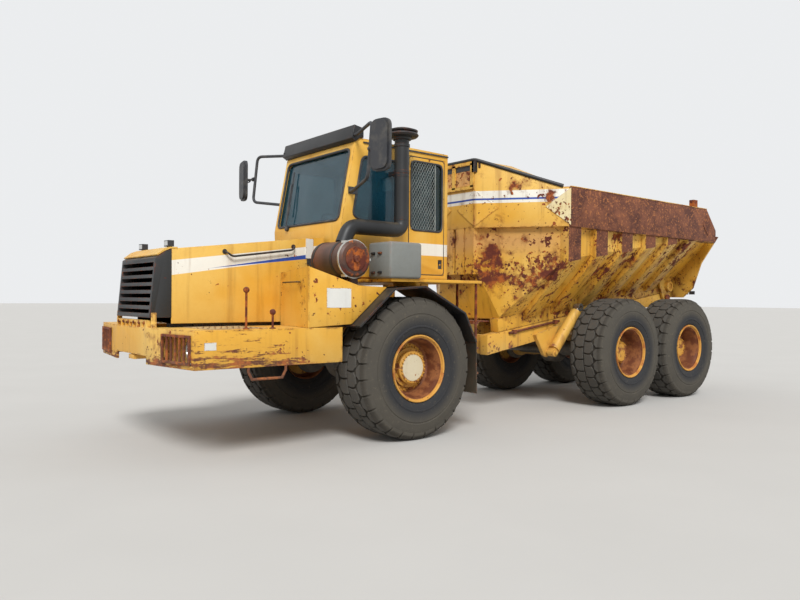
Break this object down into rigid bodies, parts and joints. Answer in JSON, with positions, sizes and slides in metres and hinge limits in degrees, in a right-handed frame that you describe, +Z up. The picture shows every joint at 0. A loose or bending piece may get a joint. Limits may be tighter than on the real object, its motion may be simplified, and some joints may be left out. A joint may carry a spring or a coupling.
{
  "type": "articulated dump truck",
  "caption": "Articulated off road dump truck: a front unit with cab and bonnet, hinged to a six wheel rear unit with an open tipping body, on large lug tyres.",
  "frame": {"origin": "on the ground under the middle of the overall length and width", "axes": "+X points forward along the direction of travel, +Y to the driver's left, +Z up"},
  "size_m": [9.4, 3.3048, 3.5228],
  "materials": {
    "yellow_paint": "faded chrome yellow paint with rust stains",
    "rusty_steel": "bare steel under even brown rust",
    "cast_housings": "dusty grey cast housings",
    "black_paint": "satin black paint",
    "lamp_glass": "clear lamp lens",
    "window_glass": "tinted flat window glass",
    "seat_cloth": "dark woven seat cover",
    "dash_plastic": "black moulded plastic",
    "grey_paint": "matt grey paint",
    "rod_chrome": "ground and plated rods",
    "tyre_rubber": "dusty black rubber",
    "rim_paint": "orange yellow paint, rusty"
  },
  "bodies": {
    "front_unit": {"front_frame": "yellow_paint", "front_axle": "cast_housings", "bumper": "yellow_paint", "lamp_guards": "rusty_steel", "headlamps": "lamp_glass", "engine": "cast_housings", "fender_boxes": "yellow_paint", "fender_flares": "black_paint", "cab_base": "yellow_paint", "steps": "rusty_steel", "cab_shell": "yellow_paint", "cab_glass": "window_glass", "visor": "black_paint", "seat": "seat_cloth", "steering_console": "dash_plastic", "air_cleaner": "rusty_steel", "intake_stack": "black_paint", "battery_box": "grey_paint", "mirrors": "black_paint"},
    "bonnet": {"bonnet": "yellow_paint", "grille": "black_paint"},
    "cab_door": {"cab_door": "yellow_paint", "door_glass": "window_glass"},
    "hitch": {"hitch_yoke": "cast_housings"},
    "rear_unit": {"rear_frame": "yellow_paint", "bogie_beams": "yellow_paint", "rear_axles": "cast_housings"},
    "dump_body": {"dump_body": "yellow_paint"},
    "hoist_barrels": {"hoist_barrels": "yellow_paint"},
    "hoist_stage_1": {"hoist_stage_1": "rod_chrome"},
    "hoist_stage_2": {"hoist_stage_2": "rod_chrome"},
    "hoist_stage_3": {"hoist_stage_3": "rod_chrome"},
    "hoist_rods": {"hoist_rods": "rod_chrome"},
    "steer_barrel_left": {"steer_barrel_left": "yellow_paint"},
    "steer_barrel_right": {"steer_barrel_right": "yellow_paint"},
    "steer_rod_left": {"steer_rod_left": "rod_chrome"},
    "steer_rod_right": {"steer_rod_right": "rod_chrome"},
    "wheel_front_left": {"tyre_front_left": "tyre_rubber", "rim_front_left": "rim_paint"},
    "wheel_front_right": {"tyre_front_right": "tyre_rubber", "rim_front_right": "rim_paint"},
    "wheel_middle_left": {"tyre_middle_left": "tyre_rubber", "rim_middle_left": "rim_paint"},
    "wheel_middle_right": {"tyre_middle_right": "tyre_rubber", "rim_middle_right": "rim_paint"},
    "wheel_rear_left": {"tyre_rear_left": "tyre_rubber", "rim_rear_left": "rim_paint"},
    "wheel_rear_right": {"tyre_rear_right": "tyre_rubber", "rim_rear_right": "rim_paint"}
  },
  "joints": [
    {"name": "steering", "type": "hinge", "parent": "front_unit", "child": "hitch", "pos_m": [0.6, 0, 0.93], "axis": [0, 0, 1], "range_deg": [-45, 45]},
    {"name": "oscillation", "type": "hinge", "parent": "hitch", "child": "rear_unit", "pos_m": [0.15, 0, 0.93], "axis": [1, 0, 0], "range_deg": [-15, 15]},
    {"name": "body_tip", "type": "hinge", "parent": "rear_unit", "child": "dump_body", "pos_m": [-4.33, 0, 1.6], "axis": [0, -1, 0], "range_deg": [0, 62]},
    {"name": "bonnet_tilt", "type": "hinge", "parent": "front_unit", "child": "bonnet", "pos_m": [4.65, 0, 1.38], "axis": [0, 1, 0], "range_deg": [0, 55]},
    {"name": "door_swing", "type": "hinge", "parent": "front_unit", "child": "cab_door", "pos_m": [1.672, 0.764, 2.5], "axis": [0, 0, -1], "range_deg": [0, 80]},
    {"name": "hoist_swing", "type": "hinge", "parent": "rear_unit", "child": "hoist_barrels", "pos_m": [-1.08, 0, 0.79], "axis": [0, -1, 0], "range_deg": [-20, 20]},
    {"name": "hoist_stage_1_slide", "type": "slide", "parent": "hoist_barrels", "child": "hoist_stage_1", "axis": [-0.6843, 0, 0.7292], "range_m": [0, 0.69]},
    {"name": "hoist_stage_2_slide", "type": "slide", "parent": "hoist_stage_1", "child": "hoist_stage_2", "axis": [-0.6843, 0, 0.7292], "range_m": [0, 0.69]},
    {"name": "hoist_stage_3_slide", "type": "slide", "parent": "hoist_stage_2", "child": "hoist_stage_3", "axis": [-0.6843, 0, 0.7292], "range_m": [0, 0.69]},
    {"name": "hoist_rods_slide", "type": "slide", "parent": "hoist_stage_3", "child": "hoist_rods", "axis": [-0.6843, 0, 0.7292], "range_m": [0, 0.69]},
    {"name": "steer_barrel_left_swing", "type": "hinge", "parent": "front_unit", "child": "steer_barrel_left", "pos_m": [1.75, 0.27, 0.88], "axis": [0, 0, 1], "range_deg": [-12, 12]},
    {"name": "steer_rod_left_slide", "type": "slide", "parent": "steer_barrel_left", "child": "steer_rod_left", "axis": [-0.9927, 0.1205, 0], "range_m": [-0.31, 0.31]},
    {"name": "steer_barrel_right_swing", "type": "hinge", "parent": "front_unit", "child": "steer_barrel_right", "pos_m": [1.75, -0.27, 0.88], "axis": [0, 0, 1], "range_deg": [-12, 12]},
    {"name": "steer_rod_right_slide", "type": "slide", "parent": "steer_barrel_right", "child": "steer_rod_right", "axis": [-0.9927, -0.1205, 0], "range_m": [-0.31, 0.31]},
    {"name": "wheel_front_left_spin", "type": "hinge", "parent": "front_unit", "child": "wheel_front_left", "pos_m": [2.05, 1.15, 0.79], "axis": [0, 1, 0], "continuous": true},
    {"name": "wheel_front_right_spin", "type": "hinge", "parent": "front_unit", "child": "wheel_front_right", "pos_m": [2.05, -1.15, 0.79], "axis": [0, 1, 0], "continuous": true},
    {"name": "wheel_middle_left_spin", "type": "hinge", "parent": "rear_unit", "child": "wheel_middle_left", "pos_m": [-2.055, 1.15, 0.79], "axis": [0, 1, 0], "continuous": true},
    {"name": "wheel_middle_right_spin", "type": "hinge", "parent": "rear_unit", "child": "wheel_middle_right", "pos_m": [-2.055, -1.15, 0.79], "axis": [0, 1, 0], "continuous": true},
    {"name": "wheel_rear_left_spin", "type": "hinge", "parent": "rear_unit", "child": "wheel_rear_left", "pos_m": [-3.721, 1.15, 0.79], "axis": [0, 1, 0], "continuous": true},
    {"name": "wheel_rear_right_spin", "type": "hinge", "parent": "rear_unit", "child": "wheel_rear_right", "pos_m": [-3.721, -1.15, 0.79], "axis": [0, 1, 0], "continuous": true}
  ],
  "couplings": [
    {"joint": "hoist_swing", "follows": "body_tip", "ratio": -0.1905},
    {"joint": "hoist_stage_1_slide", "follows": "body_tip", "m_per_rad": 0.6049},
    {"joint": "hoist_stage_2_slide", "follows": "body_tip", "m_per_rad": 0.6049},
    {"joint": "hoist_stage_3_slide", "follows": "body_tip", "m_per_rad": 0.6049},
    {"joint": "hoist_rods_slide", "follows": "body_tip", "m_per_rad": 0.6049},
    {"joint": "steer_barrel_left_swing", "follows": "steering", "ratio": 0.1871},
    {"joint": "steer_barrel_right_swing", "follows": "steering", "ratio": 0.1871},
    {"joint": "steer_rod_left_slide", "follows": "steering", "m_per_rad": 0.385},
    {"joint": "steer_rod_right_slide", "follows": "steering", "m_per_rad": -0.385}
  ]
}
